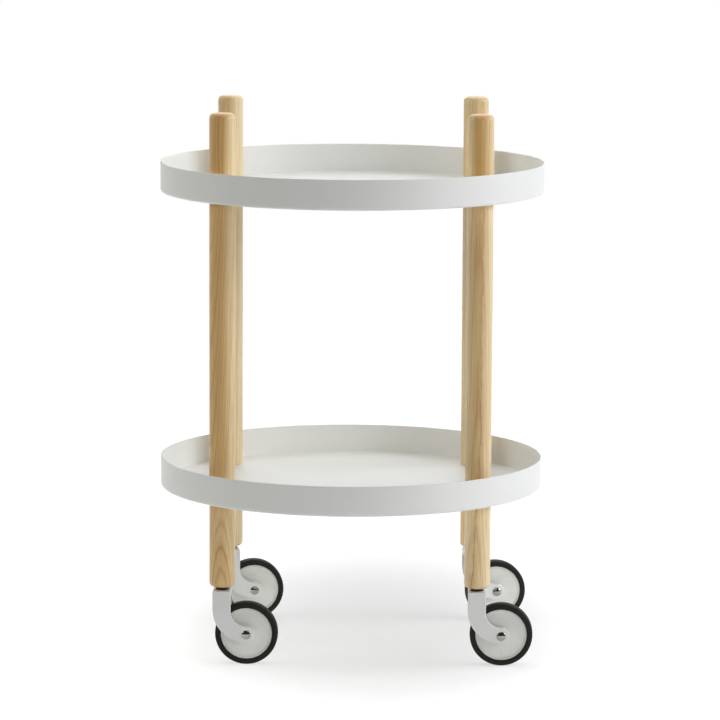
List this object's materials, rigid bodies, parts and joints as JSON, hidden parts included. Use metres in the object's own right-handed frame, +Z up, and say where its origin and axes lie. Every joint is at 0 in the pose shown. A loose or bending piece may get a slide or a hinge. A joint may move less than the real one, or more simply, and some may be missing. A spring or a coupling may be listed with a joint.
{
  "type": "side trolley",
  "caption": "Round tiered side trolley: shallow white steel trays clamped between turned ash leg sections that rise as grips, on swivelling casters with rubber tyres.",
  "frame": {"origin": "on the floor, under the centre of the trays", "axes": "+Z up, +X to the trolley's right, +Y to its rear"},
  "size_m": [0.45, 0.45, 0.64],
  "materials": {
    "white_coat": "semi-gloss powder coat",
    "ash": "clear satin lacquer",
    "caster_paint": "satin paint",
    "disc_plastic": "fine moulded",
    "tyre_rubber": "satin",
    "steel": "zinc plated",
    "brass": "machined",
    "black_plastic": "matte"
  },
  "bodies": {
    "trolley": {"upper_tray": "white_coat", "lower_tray": "white_coat", "upper_leg_studs": "steel", "lower_leg_studs": "steel", "top_peg_inserts": "brass", "middle_post_upper_inserts": "brass", "middle_post_lower_inserts": "brass", "lower_post_upper_inserts": "brass", "caster_inserts": "brass", "caster_stems": "steel", "stem_nuts": "steel", "front_left_top_peg": "ash", "front_left_middle_post": "ash", "front_left_lower_post": "ash", "front_right_top_peg": "ash", "front_right_middle_post": "ash", "front_right_lower_post": "ash", "rear_left_top_peg": "ash", "rear_left_middle_post": "ash", "rear_left_lower_post": "ash", "rear_right_top_peg": "ash", "rear_right_middle_post": "ash", "rear_right_lower_post": "ash"},
    "front_left_caster": {"front_left_fork": "caster_paint", "front_left_swivel_bush": "black_plastic", "front_left_axle_bolt": "steel", "front_left_axle_barrel": "steel"},
    "front_left_wheel": {"front_left_wheel_disc": "disc_plastic", "front_left_tyre": "tyre_rubber"},
    "front_right_caster": {"front_right_fork": "caster_paint", "front_right_swivel_bush": "black_plastic", "front_right_axle_bolt": "steel", "front_right_axle_barrel": "steel"},
    "front_right_wheel": {"front_right_wheel_disc": "disc_plastic", "front_right_tyre": "tyre_rubber"},
    "rear_left_caster": {"rear_left_fork": "caster_paint", "rear_left_swivel_bush": "black_plastic", "rear_left_axle_bolt": "steel", "rear_left_axle_barrel": "steel"},
    "rear_left_wheel": {"rear_left_wheel_disc": "disc_plastic", "rear_left_tyre": "tyre_rubber"},
    "rear_right_caster": {"rear_right_fork": "caster_paint", "rear_right_swivel_bush": "black_plastic", "rear_right_axle_bolt": "steel", "rear_right_axle_barrel": "steel"},
    "rear_right_wheel": {"rear_right_wheel_disc": "disc_plastic", "rear_right_tyre": "tyre_rubber"}
  },
  "joints": [
    {"name": "front_left_swivel", "type": "hinge", "parent": "trolley", "child": "front_left_caster", "pos_m": [-0.14762, -0.12833, 0.0873], "axis": [0, 0, 1], "continuous": true},
    {"name": "front_left_roll", "type": "hinge", "parent": "front_left_caster", "child": "front_left_wheel", "pos_m": [-0.11933, -0.12902, 0.0365], "axis": [0.0244, 0.9997, 0], "continuous": true},
    {"name": "front_right_swivel", "type": "hinge", "parent": "trolley", "child": "front_right_caster", "pos_m": [0.14762, -0.12833, 0.0873], "axis": [0, 0, 1], "continuous": true},
    {"name": "front_right_roll", "type": "hinge", "parent": "front_right_caster", "child": "front_right_wheel", "pos_m": [0.17591, -0.12902, 0.0365], "axis": [0.0244, 0.9997, 0], "continuous": true},
    {"name": "rear_left_swivel", "type": "hinge", "parent": "trolley", "child": "rear_left_caster", "pos_m": [-0.14762, 0.12833, 0.0873], "axis": [0, 0, 1], "continuous": true},
    {"name": "rear_left_roll", "type": "hinge", "parent": "rear_left_caster", "child": "rear_left_wheel", "pos_m": [-0.11956, 0.13202, 0.0365], "axis": [-0.1305, 0.9914, 0], "continuous": true},
    {"name": "rear_right_swivel", "type": "hinge", "parent": "trolley", "child": "rear_right_caster", "pos_m": [0.14762, 0.12833, 0.0873], "axis": [0, 0, 1], "continuous": true},
    {"name": "rear_right_roll", "type": "hinge", "parent": "rear_right_caster", "child": "rear_right_wheel", "pos_m": [0.17568, 0.13202, 0.0365], "axis": [-0.1305, 0.9914, 0], "continuous": true}
  ]
}
